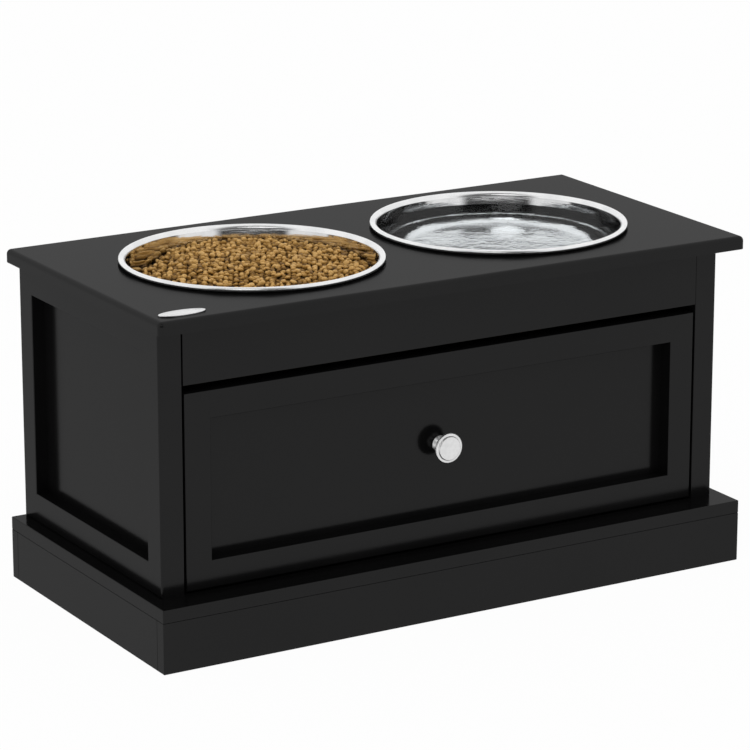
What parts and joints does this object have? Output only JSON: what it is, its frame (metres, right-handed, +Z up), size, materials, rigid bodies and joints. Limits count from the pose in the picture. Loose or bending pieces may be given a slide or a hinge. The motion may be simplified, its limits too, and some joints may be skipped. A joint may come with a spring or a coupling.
{
  "type": "elevated dog feeder with storage drawer",
  "caption": "Raised pet feeder cabinet on a plinth, with two lift-out steel bowls in its top board and a storage drawer on roller runners.",
  "frame": {"origin": "on the floor, under the middle of the plinth", "axes": "+X along the length to the right, +Y to the back, +Z up; the drawer opens towards -Y"},
  "size_m": [0.6, 0.3, 0.315],
  "materials": {
    "black_lacquer": "satin black lacquer on fibreboard",
    "bowl_steel": "polished stainless sheet",
    "knob_chrome": "satin chrome",
    "badge_metal": "brushed, blank",
    "runner_steel": "white epoxy coat",
    "roller_nylon": "moulded nylon",
    "zinc_fasteners": "zinc plated",
    "dowel_wood": "bare beech",
    "drawer_box_wood": "clear-coated birch"
  },
  "bodies": {
    "case": {"back_panel": "black_lacquer", "back_panel_screws": "zinc_fasteners", "badge_plate": "badge_metal", "base_screws": "zinc_fasteners", "cam_bolts": "zinc_fasteners", "cam_locks": "zinc_fasteners", "case_runner_left": "runner_steel", "case_runner_right": "runner_steel", "case_runner_screws": "zinc_fasteners", "corner_block_screws": "zinc_fasteners", "front_rail": "black_lacquer", "front_rail_dowels": "dowel_wood", "front_roller_pins": "zinc_fasteners", "plinth_back_skirt": "black_lacquer", "plinth_board": "black_lacquer", "plinth_corner_blocks": "dowel_wood", "plinth_front_skirt": "black_lacquer", "plinth_left_skirt": "black_lacquer", "plinth_right_skirt": "black_lacquer", "post_dowels": "dowel_wood", "side_left_back_post": "black_lacquer", "side_left_bottom_rail": "black_lacquer", "side_left_front_post": "black_lacquer", "side_left_panel": "black_lacquer", "side_left_top_rail": "black_lacquer", "side_right_back_post": "black_lacquer", "side_right_bottom_rail": "black_lacquer", "side_right_front_post": "black_lacquer", "side_right_panel": "black_lacquer", "side_right_top_rail": "black_lacquer", "top_board": "black_lacquer"},
    "drawer": {"drawer_back": "drawer_box_wood", "drawer_bottom": "drawer_box_wood", "drawer_bottom_rail": "black_lacquer", "drawer_box_screws": "zinc_fasteners", "drawer_face_screws": "zinc_fasteners", "drawer_inner_front": "drawer_box_wood", "drawer_left_stile": "black_lacquer", "drawer_panel": "black_lacquer", "drawer_right_stile": "black_lacquer", "drawer_runner_left": "runner_steel", "drawer_runner_right": "runner_steel", "drawer_runner_screws": "zinc_fasteners", "drawer_side_left": "drawer_box_wood", "drawer_side_right": "drawer_box_wood", "drawer_top_rail": "black_lacquer", "knob": "knob_chrome", "knob_screw": "zinc_fasteners", "rear_roller_pins": "zinc_fasteners"},
    "bowl_left": {"bowl_left": "bowl_steel"},
    "bowl_right": {"bowl_right": "bowl_steel"},
    "front_roller_left": {"front_roller_left": "roller_nylon"},
    "front_roller_right": {"front_roller_right": "roller_nylon"},
    "rear_roller_left": {"rear_roller_left": "roller_nylon"},
    "rear_roller_right": {"rear_roller_right": "roller_nylon"}
  },
  "joints": [
    {"name": "drawer_slide", "type": "slide", "parent": "case", "child": "drawer", "axis": [0, -1, 0], "range_m": [0, 0.18]},
    {"name": "bowl_left_lift", "type": "slide", "parent": "case", "child": "bowl_left", "axis": [0, 0, 1], "range_m": [0, 0.12]},
    {"name": "bowl_right_lift", "type": "slide", "parent": "case", "child": "bowl_right", "axis": [0, 0, 1], "range_m": [0, 0.12]},
    {"name": "front_roller_left_spin", "type": "hinge", "parent": "case", "child": "front_roller_left", "pos_m": [-0.2598, -0.089, 0.072], "axis": [1, 0, 0], "continuous": true},
    {"name": "front_roller_right_spin", "type": "hinge", "parent": "case", "child": "front_roller_right", "pos_m": [0.2598, -0.089, 0.072], "axis": [1, 0, 0], "continuous": true},
    {"name": "rear_roller_left_spin", "type": "hinge", "parent": "drawer", "child": "rear_roller_left", "pos_m": [-0.2582, 0.112, 0.072], "axis": [1, 0, 0], "continuous": true},
    {"name": "rear_roller_right_spin", "type": "hinge", "parent": "drawer", "child": "rear_roller_right", "pos_m": [0.2582, 0.112, 0.072], "axis": [1, 0, 0], "continuous": true}
  ],
  "couplings": [
    {"joint": "front_roller_left_spin", "follows": "drawer_slide", "rad_per_m": 142.86},
    {"joint": "front_roller_right_spin", "follows": "drawer_slide", "rad_per_m": 142.86},
    {"joint": "rear_roller_left_spin", "follows": "drawer_slide", "rad_per_m": 142.86},
    {"joint": "rear_roller_right_spin", "follows": "drawer_slide", "rad_per_m": 142.86}
  ]
}
